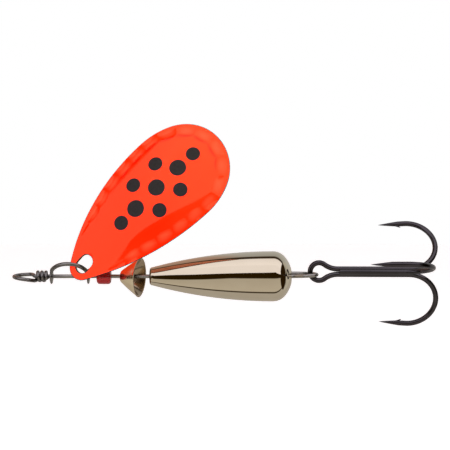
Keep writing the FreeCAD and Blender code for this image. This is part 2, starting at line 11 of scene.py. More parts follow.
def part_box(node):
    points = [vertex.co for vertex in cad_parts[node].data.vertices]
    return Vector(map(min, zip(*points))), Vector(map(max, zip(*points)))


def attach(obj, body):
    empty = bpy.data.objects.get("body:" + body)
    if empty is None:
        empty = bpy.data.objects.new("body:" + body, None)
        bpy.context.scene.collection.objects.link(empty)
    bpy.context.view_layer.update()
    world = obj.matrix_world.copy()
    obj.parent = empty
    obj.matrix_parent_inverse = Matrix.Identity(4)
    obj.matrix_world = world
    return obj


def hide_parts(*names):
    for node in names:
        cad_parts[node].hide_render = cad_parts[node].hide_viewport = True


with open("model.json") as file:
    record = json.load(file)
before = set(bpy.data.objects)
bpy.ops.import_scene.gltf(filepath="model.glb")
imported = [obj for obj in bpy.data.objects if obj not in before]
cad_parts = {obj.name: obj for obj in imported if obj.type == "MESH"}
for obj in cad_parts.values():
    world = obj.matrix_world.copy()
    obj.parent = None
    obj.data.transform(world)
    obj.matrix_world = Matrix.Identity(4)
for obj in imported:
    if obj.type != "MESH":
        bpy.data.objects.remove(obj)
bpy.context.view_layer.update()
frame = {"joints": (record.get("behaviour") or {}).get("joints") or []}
MM = 0.001
BUMP_DEPTH = 0.02 * MM


def joint_at(name):
    """Where the frame has a joint, in millimetres."""
    spot = next(joint["pos_m"] for joint in frame["joints"] if joint["name"] == name)
    return [c / MM for c in spot]


def front_of(node):
    """How far along X a CAD node starts, in millimetres."""
    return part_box(node)[0].x / MM


# --- mesh helpers -----------------------------------------------------------------------


def to_object(name, verts, faces, body, material, replaced, smooth_angle=40.0):
    """A mesh in millimetres becomes a piece that rides a body and stands for a CAD node."""
    mesh = bpy.data.meshes.new(name)
    mesh.from_pydata([tuple(MM * c for c in v) for v in verts], [], faces)
    mesh.validate()
    mesh.shade_smooth()
    mesh.set_sharp_from_angle(angle=math.radians(smooth_angle))
    mesh.update()
    piece = bpy.data.objects.new(name, mesh)
    bpy.context.scene.collection.objects.link(piece)
    piece.data.materials.append(material)
    if replaced:
        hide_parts(replaced)
    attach(piece, body)
    return piece


def lathe(profile, steps=128, turn=None, origin=(0, 0, 0)):
    """Revolve a closed (x, r) outline about X. Points that touch the axis aren't used here."""
    verts, faces = [], []
    count = len(profile)
    for k in range(steps):
        a = 2 * math.pi * k / steps
        for x, r in profile:
            verts.append((x, r * math.cos(a), r * math.sin(a)))
    for k in range(steps):
        n = (k + 1) % steps
        for i in range(count):
            j = (i + 1) % count
            faces.append((k * count + i, k * count + j, n * count + j, n * count + i))
    if turn is not None:
        verts = [tuple(turn @ Vector(v)) for v in verts]
    verts = [tuple(c + o for c, o in zip(v, origin)) for v in verts]
    return verts, faces


def arc_points(centre, radius, start, end, steps):
    """(x, r) points on an arc, angles in degrees."""
    out = []
    for i in range(steps + 1):
        a = math.radians(start + (end - start) * i / steps)
        out.append((centre[0] + radius * math.cos(a), centre[1] + radius * math.sin(a)))
    return out


def tube(points, radii, sides=24, squash=None):
    """A round bar along 3-D points with its own radius at each. squash(i) may give a direction, the
    section's scale along it and its scale across it."""
    pts = np.array(points, float)
    radii = np.broadcast_to(np.array(radii, float), (len(pts),))
    tangents = np.gradient(pts, axis=0)
    tangents /= np.linalg.norm(tangents, axis=1)[:, None]
    seed = np.array([0.0, 0.0, 1.0]) if abs(tangents[0][2]) < 0.9 else np.array([0.0, 1.0, 0.0])
    normal = np.cross(tangents[0], seed)
    normal /= np.linalg.norm(normal)
    rings = []
    for i, (p, tangent, r) in enumerate(zip(pts, tangents, radii)):
        normal = normal - tangent * (normal @ tangent)
        normal /= np.linalg.norm(normal)
        side = np.cross(tangent, normal)
        angles = np.arange(sides) * (2 * math.pi / sides)
        ring = np.outer(np.cos(angles), normal) + np.outer(np.sin(angles), side)
        ring *= r
        if squash is not None:
            direction, flat, wide = squash(i)
            along = ring @ direction
            ring = ring * wide + np.outer(along * (flat - wide), direction)
        rings.append(ring + p)
    verts = [tuple(v) for ring in rings for v in ring]
    faces = []
    for i in range(len(rings) - 1):
        for k in range(sides):
            n = (k + 1) % sides
            a, b = i * sides, (i + 1) * sides
            faces.append((a + k, a + n, b + n, b + k))
    faces.append(tuple(range(sides))[::-1])
    faces.append(tuple((len(rings) - 1) * sides + k for k in range(sides)))
    return verts, faces


def smooth_path(points, per_span=8):
    """A centripetal Catmull-Rom curve through 3-D points."""
    p = [np.array(q, float) for q in points]
    p = [2 * p[0] - p[1], *p, 2 * p[-1] - p[-2]]
    out = []
    for i in range(1, len(p) - 2):
        t0 = 0.0
        t1 = t0 + np.linalg.norm(p[i] - p[i - 1]) ** 0.5
        t2 = t1 + np.linalg.norm(p[i + 1] - p[i]) ** 0.5
        t3 = t2 + np.linalg.norm(p[i + 2] - p[i + 1]) ** 0.5
        for k in range(per_span):
            t = t1 + (t2 - t1) * k / per_span
            a1 = p[i - 1] * (t1 - t) / (t1 - t0) + p[i] * (t - t0) / (t1 - t0)
            a2 = p[i] * (t2 - t) / (t2 - t1) + p[i + 1] * (t - t1) / (t2 - t1)
            a3 = p[i + 1] * (t3 - t) / (t3 - t2) + p[i + 2] * (t - t2) / (t3 - t2)
            b1 = a1 * (t2 - t) / (t2 - t0) + a2 * (t - t0) / (t2 - t0)
            b2 = a2 * (t3 - t) / (t3 - t1) + a3 * (t - t1) / (t3 - t1)
            out.append(b1 * (t2 - t) / (t2 - t1) + b2 * (t - t1) / (t2 - t1))
    out.append(p[-2])
    return out


def merge(*parts):
    verts, faces = [], []
    for v, f in parts:
        base = len(verts)
        verts += list(v)
        faces += [tuple(i + base for i in face) for face in f]
    return verts, faces


# --- material helpers -------------------------------------------------------------------


class Tree:
    """Short names for building a node tree."""

    def __init__(self, tree):
        self.tree = tree
        self.tree.nodes.clear()

    def link(self, a, b):
        self.tree.links.new(a, b)

    def node(self, kind, **props):
        made = self.tree.nodes.new(kind)
        for key, value in props.items():
            setattr(made, key, value)
        return made

    def feed(self, node, index, value):
        if hasattr(value, "is_output"):
            self.link(value, node.inputs[index])
        else:
            node.inputs[index].default_value = value

    def math(self, operation, *values, clamp=False):
        made = self.node("ShaderNodeMath", operation=operation, use_clamp=clamp)
        for index, value in enumerate(values):
            self.feed(made, index, value)
        return made.outputs[0]

    def spread(self, value, low, high, to_low, to_high, kind="LINEAR"):
        made = self.node("ShaderNodeMapRange", interpolation_type=kind)
        for index, item in enumerate((value, low, high, to_low, to_high)):
            self.feed(made, index, item)
        return made.outputs[0]

    def mix(self, factor, a, b, blend="MIX"):
        made = self.node("ShaderNodeMix", data_type="RGBA", blend_type=blend)
        for index, item in ((0, factor), (6, a), (7, b)):
            self.feed(made, index, item)
        return made.outputs[2]

    def split(self, vector):
        made = self.node("ShaderNodeSeparateXYZ")
        self.link(vector, made.inputs[0])
        return made.outputs


class Nodes(Tree):
    """A material built round one principled shader."""

    def __init__(self, name):
        self.material = bpy.data.materials.new(name)
        self.material.use_nodes = True
        super().__init__(self.material.node_tree)
        self.out = self.node("ShaderNodeOutputMaterial")
        self.shader = self.node("ShaderNodeBsdfPrincipled")
        self.link(self.shader.outputs[0], self.out.inputs[0])

    def set(self, **values):
        for key, value in values.items():
            self.feed(self.shader, key.replace("_", " "), value)

    def noise(self, vector, scale, detail=3.0, rough=0.5):
        made = self.node("ShaderNodeTexNoise")
        self.link(vector, made.inputs["Vector"])
        made.inputs["Scale"].default_value = scale
        made.inputs["Detail"].default_value = detail
        made.inputs["Roughness"].default_value = rough
        return made.outputs["Fac"]

    def coords(self, scale=(1, 1, 1)):
        where = self.node("ShaderNodeTexCoord")
        mapping = self.node("ShaderNodeMapping")
        mapping.inputs["Scale"].default_value = scale
        self.link(where.outputs["Object"], mapping.inputs["Vector"])
        return mapping.outputs[0]

    def attribute(self, name, output="Fac"):
        return self.node("ShaderNodeAttribute", attribute_name=name).outputs[output]

    def bump(self, height, strength, distance):
        made = self.node("ShaderNodeBump")
        made.inputs["Strength"].default_value = strength
        made.inputs["Distance"].default_value = distance
        self.link(height, made.inputs["Height"])
        self.link(made.outputs[0], self.shader.inputs["Normal"])


def metal(name, color, dark, rough, streaks, streak_scale, bump=0.0, mottle=0.25, painted_shade=None):
    """Metal with fine streaks, faint tarnish and uneven gloss. streak_scale stretches the streaks
    along the axes where it is small, and the last argument, a function (n, base), may paint shade
    on part of the surface."""
    n = Nodes(name)
    lines = n.noise(n.coords(streak_scale), 900.0, 4.0)
    cloud = n.noise(n.coords(), 260.0, 3.0)
    tarnish = n.spread(cloud, 0.45, 0.75, 0.0, mottle)
    tone = n.math("ADD", tarnish, n.spread(lines, 0.35, 0.75, 0.0, streaks), clamp=True)
    base = n.mix(tone, (*color, 1), (*dark, 1))
    if painted_shade:
        base = painted_shade(n, base)
    n.set(
        Metallic=1.0,
        Base_Color=base,
        Roughness=n.spread(lines, 0.3, 0.7, rough * 0.8, rough * 1.3),
    )
    if bump:
        n.bump(lines, bump, BUMP_DEPTH)
    return n.material


def eye_painted_shade(n, base):
    """Painted shade: the wire is painted darker at the line-tie eye and its wraps."""
    bent = n.spread(n.split(n.coords())[0], 4 * MM, 7 * MM, 0.6, 0.0)
    return n.mix(bent, base, (0.09, 0.09, 0.10, 1))


def hollow_painted_shade(n, base):
    """Painted shade: the cup's hollow side is painted browner than its polished outside."""
    normal = n.node("ShaderNodeTexCoord").outputs["Normal"]
    inside = n.spread(n.split(normal)[0], 0.1, 0.4, 0.0, 0.65)
    return n.mix(inside, base, (0.22, 0.14, 0.10, 1))


# --- finishes ---------------------------------------------------------------------------

WIRE = metal(
    "drawn_spring_wire",
    color=(0.50, 0.475, 0.45),
    dark=(0.22, 0.21, 0.20),
    rough=0.24,
    streaks=0.45,
    streak_scale=(0.05, 1, 1),
    bump=0.12,
    painted_shade=eye_painted_shade,
)
CLEVIS = metal(
    "dark_nickel_wire",
    color=(0.30, 0.285, 0.27),
    dark=(0.10, 0.095, 0.09),
    rough=0.22,
    streaks=0.4,
    streak_scale=(0.2, 1, 1),
    bump=0.08,
)
HOOK = metal(
    "black_nickel",
    color=(0.095, 0.086, 0.095),
    dark=(0.035, 0.031, 0.036),
    rough=0.16,
    streaks=0.4,
    streak_scale=(0.1, 1, 1),
    bump=0.06,
)
BRAZE = metal(
    "dark_solder",
    color=(0.10, 0.092, 0.10),
    dark=(0.045, 0.04, 0.046),
    rough=0.32,
    streaks=0.4,
    streak_scale=(1, 1, 1),
    bump=0.3,
)
CUP = metal(
    "spun_brass",
    color=(0.95, 0.80, 0.56),
    dark=(0.70, 0.52, 0.30),
    rough=0.15,
    streaks=0.35,
    streak_scale=(1, 0.12, 0.12),
    bump=0.10,
    mottle=0.2,
    painted_shade=hollow_painted_shade,
)
BRASS = metal(
    "polished_brass",
    color=(0.80, 0.72, 0.57),
    dark=(0.62, 0.52, 0.36),
    rough=0.045,
    streaks=0.08,
    streak_scale=(0.3, 1, 1),
    mottle=0.15,
)


def bead_material():
    """Translucent ruby plastic with a faint cloudiness."""
    n = Nodes("ruby_plastic")
    cloud = n.noise(n.coords(), 700.0, 3.0)
    n.set(
        Base_Color=n.mix(cloud, (0.36, 0.002, 0.005, 1), (0.52, 0.006, 0.010, 1)),
        Roughness=n.spread(cloud, 0.3, 0.7, 0.12, 0.2),
        Transmission_Weight=0.7,
        IOR=1.49,
        Coat_Weight=0.3,
        Coat_Roughness=0.08,
    )
    return n.material


BEAD = bead_material()

# blade spots: distance from the narrow end, offset towards the front side, radius, in mm
SPOTS = [
    (12.16, 0.14, 1.25),
    (15.55, 0.12, 1.48),
    (20.49, 0.24, 1.46),
    (25.37, 0.25, 1.45),
    (28.86, 0.30, 1.22),
    (18.00, 3.47, 1.26),
    (23.17, 3.55, 1.26),
    (18.21, -2.96, 1.23),
    (23.10, -2.86, 1.22),
]


def spot_mask(n, along, across):
    """1 inside any spot, with a slightly uneven edge."""
    wobble = n.math("SUBTRACT", n.noise(n.coords(), 1400.0, 2.0), 0.5)
    mask = None
    for at, off, radius in SPOTS:
        du = n.math("SUBTRACT", along, at)
        dw = n.math("SUBTRACT", across, off)
        square = n.math("ADD", n.math("MULTIPLY", du, du), n.math("MULTIPLY", dw, dw))
        reach = n.math("MULTIPLY_ADD", wobble, 0.08, n.math("SQRT", square))
        inside = n.spread(reach, radius - 0.05, radius + 0.05, 1.0, 0.0)
        mask = inside if mask is None else n.math("MAXIMUM", mask, inside)
    return mask


def blade_material():
    """Fluorescent orange-red enamel with dark spots on the convex face and a darker, blotchy brown
    on the hollow one. The cut edges, and a thin uneven strip along them, are dark unpainted metal.
    Painted light: the outer paint glows, is lighter on the hammer marks and towards the nose, and is
    darker along the fold."""
    n = Nodes("fluorescent_enamel")
    along, across, side = n.split(n.attribute("blade_place", "Vector"))
    inset = n.attribute("blade_inset")
    # painted light and shade: above 0 a highlight on the hammer marks, below 0 shade along the fold
    mark = n.attribute("blade_light_and_shade")
    spots = n.math("MULTIPLY", spot_mask(n, along, across), n.math("GREATER_THAN", side, 0.75))
    cloud = n.noise(n.coords(), 160.0, 3.0)
    grain = n.noise(n.coords(), 3000.0, 2.0)
    # random clouding, plus painted light: the paint grows paler towards the nose
    pale = n.math("MULTIPLY_ADD", cloud, 0.4, n.spread(along, 16.0, 32.0, 0.0, 1.0))
    paint = n.mix(pale, (1.0, 0.012, 0.0008, 1), (1.0, 0.026, 0.0024, 1))
    # painted highlight: on the hammer marks the paint is lightened towards coral, unevenly
    thin = n.spread(n.math("MULTIPLY_ADD", cloud, 0.3, mark), 0.3, 1.2, 0.0, 0.5)
    paint = n.mix(thin, paint, (1.0, 0.085, 0.035, 1))
    # painted shade: along the fold the paint is darkened to deep red
    paint = n.mix(n.spread(mark, 0.0, -1.0, 0.0, 1.0), paint, (1.0, 0.001, 0.0001, 1))
    blotch = n.spread(n.noise(n.coords(), 420.0, 5.0, 0.65), 0.35, 0.65, 0.0, 0.7)
    blotch = n.math("MULTIPLY_ADD", grain, 0.3, blotch)
    hollow = n.mix(blotch, (0.58, 0.20, 0.115, 1), (0.30, 0.08, 0.04, 1))
    outside = n.spread(side, 0.5, 1.0, 0.0, 1.0)
    paint = n.mix(n.spread(outside, 0.0, 1.0, 0.9, 0.0), paint, hollow)
    ink = n.mix(grain, (0.012, 0.010, 0.012, 1), (0.024, 0.020, 0.024, 1))
    # the paint stops an uneven tenth of a millimetre or so short of the cut edges
    paint_stop = n.math("MULTIPLY_ADD", n.noise(n.coords(), 2200.0, 2.0), 0.12, 0.07)
    covered = n.math("GREATER_THAN", inset, paint_stop)
    painted = n.math("MULTIPLY", n.math("GREATER_THAN", side, 0.25), covered)
    bare = n.mix(grain, (0.10, 0.08, 0.07, 1), (0.05, 0.04, 0.036, 1))
    # painted light: the outer paint, off the spots, glows at a fixed strength
    glow = n.math("MULTIPLY", n.math("MULTIPLY", painted, outside), n.math("SUBTRACT", 1.0, spots))
    n.set(
        Base_Color=n.mix(painted, bare, n.mix(spots, paint, ink)),
        Metallic=n.math("SUBTRACT", 1.0, painted),
        Roughness=n.math("MULTIPLY_ADD", spots, 0.3, n.spread(cloud, 0.3, 0.7, 0.05, 0.09)),
        IOR=n.math("MULTIPLY_ADD", spots, -0.35, n.spread(outside, 0.0, 1.0, 1.9, 1.55)),
        Specular_Tint=(1.0, 1.0, 0.45, 1),
        Emission_Color=(1.0, 0.008, 0.0005, 1),
        Emission_Strength=n.math("MULTIPLY", glow, 0.42),
    )
    n.bump(grain, 0.02, BUMP_DEPTH)
    return n.material


BLADE = blade_material()


# --- shaft wire -------------------------------------------------------------------------

WIRE_R = 0.325
REAR_END = joint_at("hook_swing")[0]


def shaft_points():
    """The bent shaft wire's centre line, from the end of the wraps to the tag inside the weight."""
    wrap_start, wrap_pitch, wrap_r = 1.85, 0.69, 0.69
    wraps = []
    steps = 14
    for step in range(40, -1, -1):
        a = 2 * math.pi * step / steps
        x = wrap_start + wrap_pitch * step / steps
        wraps.append((x, wrap_r * math.sin(a), -wrap_r * math.cos(a)))
    eye_r, first, last = 1.8, 68, 320
    ring = []
    for degrees in range(first, last, 28):
        a = math.radians(degrees)
        lowered = 0.25 - 0.9 * ((degrees - first) / (last - first)) ** 1.5
        ring.append((eye_r * math.cos(a), eye_r * math.sin(a), lowered))
    neck = [(1.16, 1.22, 0.2), (1.37, 0.75, 0.14), (1.5, 0.32, 0.08), (1.74, 0.07, 0.03)]
    neck += [(2.05, 0, 0)]
    front = smooth_path([*wraps, (1.66, -0.72, -0.69), *ring[::-1], *neck, (2.6, 0, 0)], 7)
    end, tag_y, tag_z = REAR_END, 0.52, 0.47
    near = [
        (45.0, 0, 0),
        (45.6, 0, 0),
        (end - 3.1, -0.34, 0.03),
        (end - 2.1, -0.98, 0.09),
        (end - 1.1, -1.34, 0.16),
        (end - 0.3, -1.06, 0.23),
        (end, -0.45, 0.3),
        (end, 0.0, 0.3),
        (end, 0.45, 0.3),
        (end - 0.3, 1.06, 0.34),
        (end - 1.1, 1.34, 0.38),
        (end - 2.1, 1.03, 0.42),
        (end - 3.2, 0.66, 0.46),
        (45.2, tag_y, tag_z),
        (44.4, tag_y, tag_z),
    ]
    straight = [(x, 0, 0) for x in np.linspace(2.6, 45.0, 60)[1:-1]]
    tag = [(x, tag_y, tag_z) for x in (43.4, 42.4, 41.85)]
    return [*front, *straight, *smooth_path(near, 8), *tag]


verts, faces = tube(shaft_points(), WIRE_R, 24)
to_object("shaft_wire_drawn", verts, faces, "wireform", WIRE, "shaft_wire", 50)


# --- clevis -----------------------------------------------------------------------------

LEAN = Matrix.Rotation(math.radians(52.8), 3, "X")
CLEVIS_AT = Vector(joint_at("clevis_spin"))
CLEVIS_R = 0.35


def clevis_mesh():
    """Arch of round wire whose ends flatten into pierced pads with thin hammered rims."""
    half, lift, foot = 3.13, 0.51, 0.85
    arch = []
    low = math.asin((foot - lift) / half)
    for i in range(73):
        a = math.pi - low - (math.pi - 2 * low) * i / 72
        arch.append((half * math.cos(a), 0, lift + half * math.sin(a)))
    along = np.array([1.0, 0, 0])

    def flatten(i):
        """Full section above 2 mm, changing to a flat one over the next 0.9 mm down."""
        t = min(max((2.0 - arch[i][2]) / 0.9, 0), 1)
        t = t * t * (3 - 2 * t)
        return along, 1 - 0.45 * t, 1 + 0.25 * t

    parts = [tube(arch, CLEVIS_R, 24, flatten)]
    half_section = [(0.185, 0.40), (0.225, 0.44), (0.225, 0.70)]
    half_section += [(0.18, 1.0), (0.13, 1.2), (0.07, 1.3)]
    outline = [(-x, r) for x, r in half_section] + half_section[::-1]
    for side in (-1, 1):
        parts.append(lathe(outline, 72, origin=(side * half, 0, 0)))
    verts, faces = merge(*parts)
    verts = [tuple(LEAN @ Vector(v) + CLEVIS_AT) for v in verts]
    return verts, faces


verts, faces = clevis_mesh()
to_object("clevis_stirrup", verts, faces, "clevis", CLEVIS, "clevis", 40)


# --- blade ------------------------------------------------------------------------------

LENGTH, HALF, WIDEST = 33.94, 8.6, 23.88
SIDE_R, NOSE_R = 42.24, 8.17
THICK, BEVEL = 0.45, 0.07
LONG_R, CROSS_R, CROWN = 70.0, 21.3, 18.0
SLOT_C, SLOT_L, SLOT_W = 2.9, 1.67, 1.17
YAW, PITCH, ROLL = 44.3, 2.5, -16.0
HANG = Vector((10.41, -2.3, 2.15))
DENT_DEPTH = 0.12
# hammer marks round the rim: how far one is from the nose, and the steps before and past it
MARK_AT, NOSE_STEP, SIDE_STEP = 13.62, 3.88, 3.2


def blade_outline(count):
    """Points round the blade's edge, evenly spaced from the nose, and how far each is from it."""
    drop = SIDE_R - HALF
    cap = (SIDE_R**2 - drop**2 - WIDEST**2) / (2 * (SIDE_R - WIDEST))
    run = LENGTH - NOSE_R - WIDEST
    shoulder = (run**2 + HALF**2 - NOSE_R**2) / (2 * (HALF - NOSE_R))
    nose_angle = math.degrees(math.atan2(shoulder - HALF, run))
    cap_angle = math.degrees(math.atan2(drop, cap - WIDEST))
    half = arc_points((LENGTH - NOSE_R, 0), NOSE_R, 0, nose_angle, 200)
    half += arc_points((WIDEST, HALF - shoulder), shoulder, nose_angle, 90, 200)[1:]
    half += arc_points((WIDEST, HALF - SIDE_R), SIDE_R, 90, cap_angle, 400)[1:]
    half += arc_points((cap, 0), cap, cap_angle, 180, 200)[1:]
    whole = np.array(half + [(u, -w) for u, w in half[-2:0:-1]])
    loop = np.vstack([whole, whole[:1]])
    step = np.linalg.norm(np.diff(loop, axis=0), axis=1)
    at = np.concatenate([[0], np.cumsum(step)])
    want = np.linspace(0, at[-1], count, endpoint=False)
    rim = np.stack([np.interp(want, at, loop[:, k]) for k in (0, 1)], axis=1)
    return rim, np.minimum(want, at[-1] - want)


def slot_edge(directions):
    """The slot's rim in each direction from its centre."""
    reach = SLOT_L - SLOT_W
    out = []
    for c, s in directions:
        if abs(s) > 1e-9 and SLOT_W * abs(c / s) <= reach:
            out.append(SLOT_W / abs(s))
            continue
        out.append(reach * abs(c) + math.sqrt(max(SLOT_W**2 - (reach * s) ** 2, 0)))
    return np.array(out)


def ease(value, low, high):
    t = np.clip((value - low) / (high - low), 0, 1)
    return t * t * (3 - 2 * t)


def dome(u, w):
    """Height and unit normal of the outer face."""
    across = np.sqrt(CROSS_R**2 - w**2) - CROSS_R
    ring = LONG_R + across
    drop = np.sqrt(ring**2 - (u - CROWN) ** 2)
    slope_u = (u - CROWN) / drop
    slope_w = w / np.sqrt(CROSS_R**2 - w**2) * ring / drop
    normal = np.stack([slope_u, slope_w, np.ones_like(u)], 1)
    return drop - LONG_R, normal / np.linalg.norm(normal, axis=1)[:, None]


def scallops(reach):
    """0 at the ridge between two hammer marks and 1 in the middle of one, along the rim."""
    past = reach - MARK_AT
    phase = np.where(past < 0, past / NOSE_STEP, past / SIDE_STEP)
    return 1 - (2 * ((phase + 0.5) % 1.0) - 1) ** 2


def blade_rows(rim, reach):
    """Rows of (flat points, height in half thicknesses, dent depth, inset from an edge, side, mark).
    They run from the slot over the outer face, round the rim and back over the hollow face. side is
    1 on the outer face, 0.5 on the hollow one and 0 on the cut edges. mark is painted light and
    shade: above 0 a painted highlight on a hammer mark, below 0 painted shade along the fold."""
    tangent = np.roll(rim, -1, axis=0) - np.roll(rim, 1, axis=0)
    tangent /= np.linalg.norm(tangent, axis=1)[:, None]
    inward = np.stack([-tangent[:, 1], tangent[:, 0]], 1)
    mark = scallops(reach)
    width = 0.35 + 1.65 * ease(rim[:, 0], 3, 11) + 0.35 * ease(rim[:, 0], 26, 30)
    fold = rim + inward * (width * (0.86 + 0.14 * mark))[:, None]
    ray = fold - np.array([SLOT_C, 0.0])
    far = np.linalg.norm(ray, axis=1)
    ray /= far[:, None]
    near = slot_edge(ray)
    centre = np.array([SLOT_C, 0.0])
    depth = DENT_DEPTH * (0.2 + 0.8 * mark) * ease(rim[:, 0], 4, 9)
    none = np.zeros(len(rim))
    # painted shade along the fold, stronger on the hammer marks and kept to part of the rim
    fold_shade = (0.4 + 0.6 * mark) * ease(rim[:, 0], 14, 18) * ease(rim[:, 1], -7, -4)
    face = []
    square = -(ray * inward).sum(axis=1)
    for f in 1 - (1 - np.linspace(0, 1, 100)) ** 1.7:
        r = near + BEVEL + (far - near - BEVEL) * f
        # painted shade on the face next to the fold
        crease_shade = -fold_shade * np.exp(-(((far - r) * square / 0.3) ** 2))
        face.append((centre + ray * r[:, None], 1, none, np.minimum(r - near, width), 1, crease_shade))
    for t in np.linspace(0, 1, 19)[1:]:
        flat = fold + (rim + inward * BEVEL - fold) * t
        inset = np.linalg.norm(rim - flat, axis=1)
        # painted highlight in each hammer mark; the line below adds painted shade along the fold
        light = mark * ease(rim[:, 0], 6, 10) * math.sin(math.pi * t**0.8) ** 1.5
        shade = light - fold_shade * np.exp(-((width * t / 0.3) ** 2))
        face.append((flat, 1, depth * math.sin(math.pi * t), inset, 1, shade))
    soft = 1 - 2 * BEVEL / THICK
    slot = centre + ray * near[:, None]
    outer_edge = [(rim, soft, none, none, 0, none), (rim, -soft, none, none, 0, none)]
    inner_edge = [(slot, -soft, none, none, 0, none), (slot, soft, none, none, 0, none)]
    back = [(row[0], -1, row[2], row[3], 0.5, none) for row in face[::-1]]
    return face + outer_edge + back + inner_edge


def blade_mesh(count=600):
    """The sheet blade in its own frame, with each vertex's place on it, inset and painted light
    and shade.
    """
    rim, reach = blade_outline(count)
    rows = blade_rows(rim, reach)
    verts, place, insets, marks = [], [], [], []
    for flat, lift, dent, inset, side, mark in rows:
        u, w = flat[:, 0], flat[:, 1]
        top, normal = dome(u, w)
        offset = (lift - 1) * THICK / 2 - dent
        verts += list(np.stack([u, w, top], 1) + normal * offset[:, None])
        place += [(a, b, side) for a, b in zip(u, w)]
        insets += list(inset)
        marks += list(mark)
    faces = []
    for level in range(len(rows)):
        a, b = level * count, ((level + 1) % len(rows)) * count
        for k in range(count):
            n = (k + 1) % count
            faces.append((a + k, b + k, b + n, a + n))
    return verts, faces, place, insets, marks


def blade_turn():
    yaw = math.radians(YAW)
    long = Vector((math.cos(yaw), 0, math.sin(yaw)))
    face = Vector((0, -1, 0))
    across = face.cross(long)
    flat = Matrix((long, across, face)).transposed()
    pitch = Matrix.Rotation(math.radians(PITCH), 3, across)
    roll = Matrix.Rotation(math.radians(ROLL), 3, long)
    return pitch @ roll @ flat


verts, faces, place, insets, marks = blade_mesh()
turn = blade_turn()
centre_height = math.sqrt(LONG_R**2 - (SLOT_C - CROWN) ** 2) - LONG_R - THICK / 2
shift = HANG - turn @ Vector((SLOT_C, 0, centre_height))
verts = [tuple(turn @ Vector(v) + shift) for v in verts]
blade = to_object("blade_sheet", verts, faces, "blade", BLADE, "blade", 45)
layer = blade.data.attributes.new("blade_place", "FLOAT_VECTOR", "POINT")
layer.data.foreach_set("vector", [c for spot in place for c in spot])
# the second attribute holds the painted highlight on the hammer marks and painted shade along the
# fold
for name, values in (("blade_inset", insets), ("blade_light_and_shade", marks)):
    layer = blade.data.attributes.new(name, "FLOAT", "POINT")
    layer.data.foreach_set("value", values)


# --- bead, cup and weight ---------------------------------------------------------------

BORE_R = 0.41
BELLY = 0.07


def bead_mesh():
    """A tube with well-rounded ends and a slightly eased bore."""
    length, radius, corner, ease_x, ease_r = 2.4, 1.335, 0.5, 0.06, 0.05
    outline = [(0.0, BORE_R + ease_r), (ease_x, BORE_R)]
    outline += [(length - ease_x, BORE_R), (length, BORE_R + ease_r)]
    outline += arc_points((length - corner, radius - corner), corner, 0, 90, 10)
    outline += arc_points((corner, radius - corner), corner, 90, 180, 10)
    return lathe(outline, 96, origin=(front_of("bead"), 0, 0))


verts, faces = bead_mesh()
to_object("bead_tube", verts, faces, "bead", BEAD, "bead", 50)


def belled(start, end, steps=15):
    """(x, r) points between two ends, on a line that swells in the middle."""
    out = []
    for i in range(1, steps):
        t = i / steps
        x, r = (a + (b - a) * t for a, b in zip(start, end))
        out.append((x, r + BELLY * math.sin(math.pi * t)))
    return out


def cup_mesh():
    """A thin spun cone, slightly belled, with a rolled lip."""
    nose_r, nose_edge = 0.8, 0.32
    outer = [(0.0, 0.64), (0.0, nose_r)]
    outer += arc_points((nose_edge, nose_r), nose_edge, 180, 128, 8)[1:]
    outer += belled(outer[-1], (3.28, 3.33))
    lip = [(3.26, 3.35), (3.30, 3.36), (3.31, 3.30), (3.31, 3.20), (3.29, 3.12), (3.22, 3.06)]
    inner = belled(lip[-1], (0.5, 0.95))
    tail = [(0.36, 0.80), (0.29, 0.68), (0.27, 0.62), (0.22, 0.6), (0.05, 0.6)]
    yaw, pitch = math.radians(-14), math.radians(3)
    turn = Matrix.Rotation(yaw, 3, "Z") @ Matrix.Rotation(pitch, 3, "Y")
    return lathe(outer + lip + inner + tail, 128, turn, joint_at("cup_spin"))


verts, faces = cup_mesh()
to_object("bell_cup_spun", verts, faces, "cup", CUP, "bell_cup", 45)


def weight_mesh():
    """A solid teardrop, bored for the wire, with a wider pocket at the rear for its tag."""
    length, widest, radius = 24.2, 20.95, 4.26
    pocket_x, pocket_r = 19.6, 1.1
    front, corner, shoulder = 1.56, 0.5, 2.7
    side = ((widest - corner) ** 2 + (radius - front) ** 2) / (2 * (radius - front))
    tail, core = length - widest, radius - shoulder
    end = (tail**2 + core**2 - shoulder**2) / (2 * (tail - shoulder))
    join = math.degrees(math.atan2(core, widest - (length - end)))
    mouth = math.degrees(math.asin(pocket_r / end))
    start = math.degrees(math.acos((corner - widest) / side))
    profile = [(0.0, BORE_R + 0.04), (0.04, BORE_R), (pocket_x, BORE_R), (pocket_x, pocket_r)]
    profile += arc_points((length - end, 0), end, mouth, join, 24)
    profile += arc_points((widest, core), shoulder, join, 90, 32)[1:]
    profile += arc_points((widest, radius - side), side, 90, start, 60)[1:]
    profile += arc_points((corner, front - corner), corner, 100, 180, 12)
    return lathe(profile, 160, origin=(front_of("body_weight"), 0, 0))


verts, faces = weight_mesh()
to_object("weight_turned", verts, faces, "weight", BRASS, "body_weight", 40)


# --- treble hook ------------------------------------------------------------------------

HOOK_R = 0.45
SHANK_Z, SHANK_START, SHANK_END = 0.46, 3.6, 15.6
SINGLE_Y, SINGLE_START, SINGLE_END = -0.805, 3.97, 14.2
HOOK_TURN = Matrix.Rotation(math.radians(-3.8), 3, "Z")
PIVOT = Vector((REAR_END, 0, 0.8))


def outward(degrees):
    a = math.radians(degrees)
    return np.array([0.0, math.sin(a), math.cos(a)])


